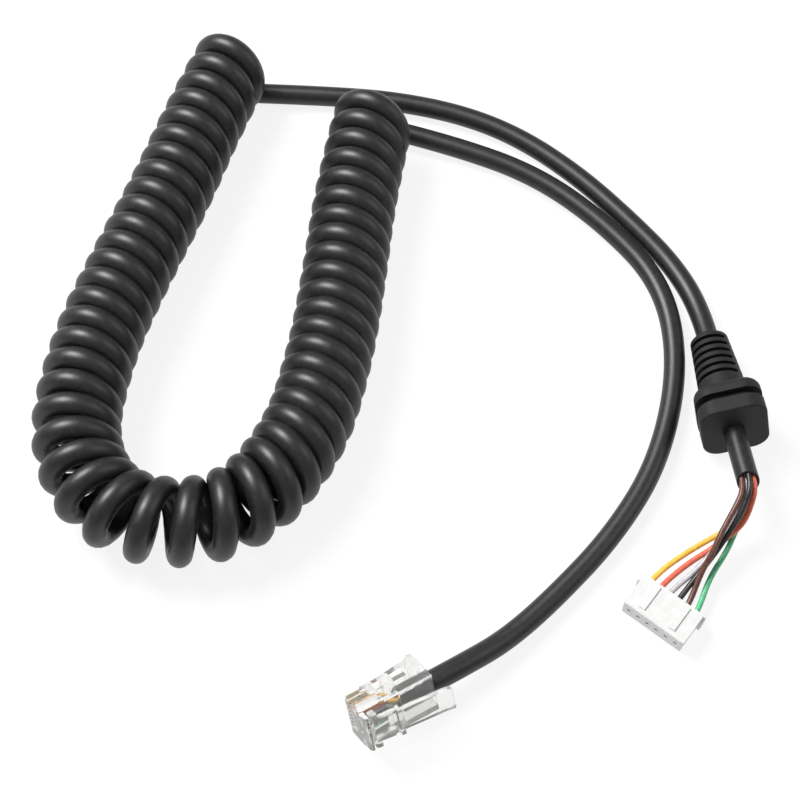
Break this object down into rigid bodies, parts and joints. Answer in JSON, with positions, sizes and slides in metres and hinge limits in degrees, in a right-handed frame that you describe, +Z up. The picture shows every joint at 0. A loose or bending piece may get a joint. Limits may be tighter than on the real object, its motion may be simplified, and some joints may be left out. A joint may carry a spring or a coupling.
{
  "type": "curly microphone cord",
  "caption": "Curly microphone cord with straight tails, a ribbed strain-relief boot, loose coloured wires in a flat white plug, and a clear modular plug with a spring latch",
  "frame": {"origin": "centre, on the table plane, of the box around the pieces that are not free cord: boot, jacket stub, six-way connector and modular plug", "axes": "+Z up from the table; +X to the right and +Y away from the viewer in the laid-out pose; the boot lies at +X, the modular plug at -X -Y"},
  "size_m": [0.1735, 0.1897, 0.0211],
  "materials": {
    "jacket_black": "soft satin PVC",
    "boot_rubber": "dull moulded rubber",
    "housing_white": "semi-matt natural nylon",
    "terminal_tin": "tin-plated strip",
    "plug_clear": "clear polycarbonate",
    "contact_gold": "gold flash on bronze",
    "wire_yellow": "glossy PVC insulation",
    "wire_red": "glossy PVC insulation",
    "wire_grey": "glossy PVC insulation",
    "wire_black": "glossy PVC insulation",
    "wire_brown": "glossy PVC insulation",
    "wire_green": "glossy PVC insulation"
  },
  "bodies": {
    "root": {"curly_cord": "jacket_black", "microphone_tail": "jacket_black", "radio_tail": "jacket_black", "strain_relief_boot": "boot_rubber", "jacket_stub": "jacket_black", "connector_housing": "housing_white", "crimp_terminals": "terminal_tin", "plug_body": "plug_clear", "plug_contacts": "contact_gold", "plug_jacket_bar": "plug_clear", "plug_wire_bar": "plug_clear", "plug_jacket_end": "jacket_black", "wire_yellow": "wire_yellow", "wire_red": "wire_red", "wire_grey": "wire_grey", "wire_black": "wire_black", "wire_brown": "wire_brown", "wire_green": "wire_green", "plug_wire_yellow": "wire_yellow", "plug_wire_red": "wire_red", "plug_wire_grey": "wire_grey", "plug_wire_black": "wire_black", "plug_wire_brown": "wire_brown", "plug_wire_green": "wire_green"},
    "latch": {"plug_latch": "plug_clear"}
  },
  "joints": [
    {"name": "latch_flex", "type": "hinge", "parent": "root", "child": "latch", "pos_m": [-0.04322, -0.04729, 0.01192], "axis": [-0.1688, 0.5245, 0.8345], "range_deg": [0, 8], "stiffness_Nm_per_rad": 0.02}
  ]
}
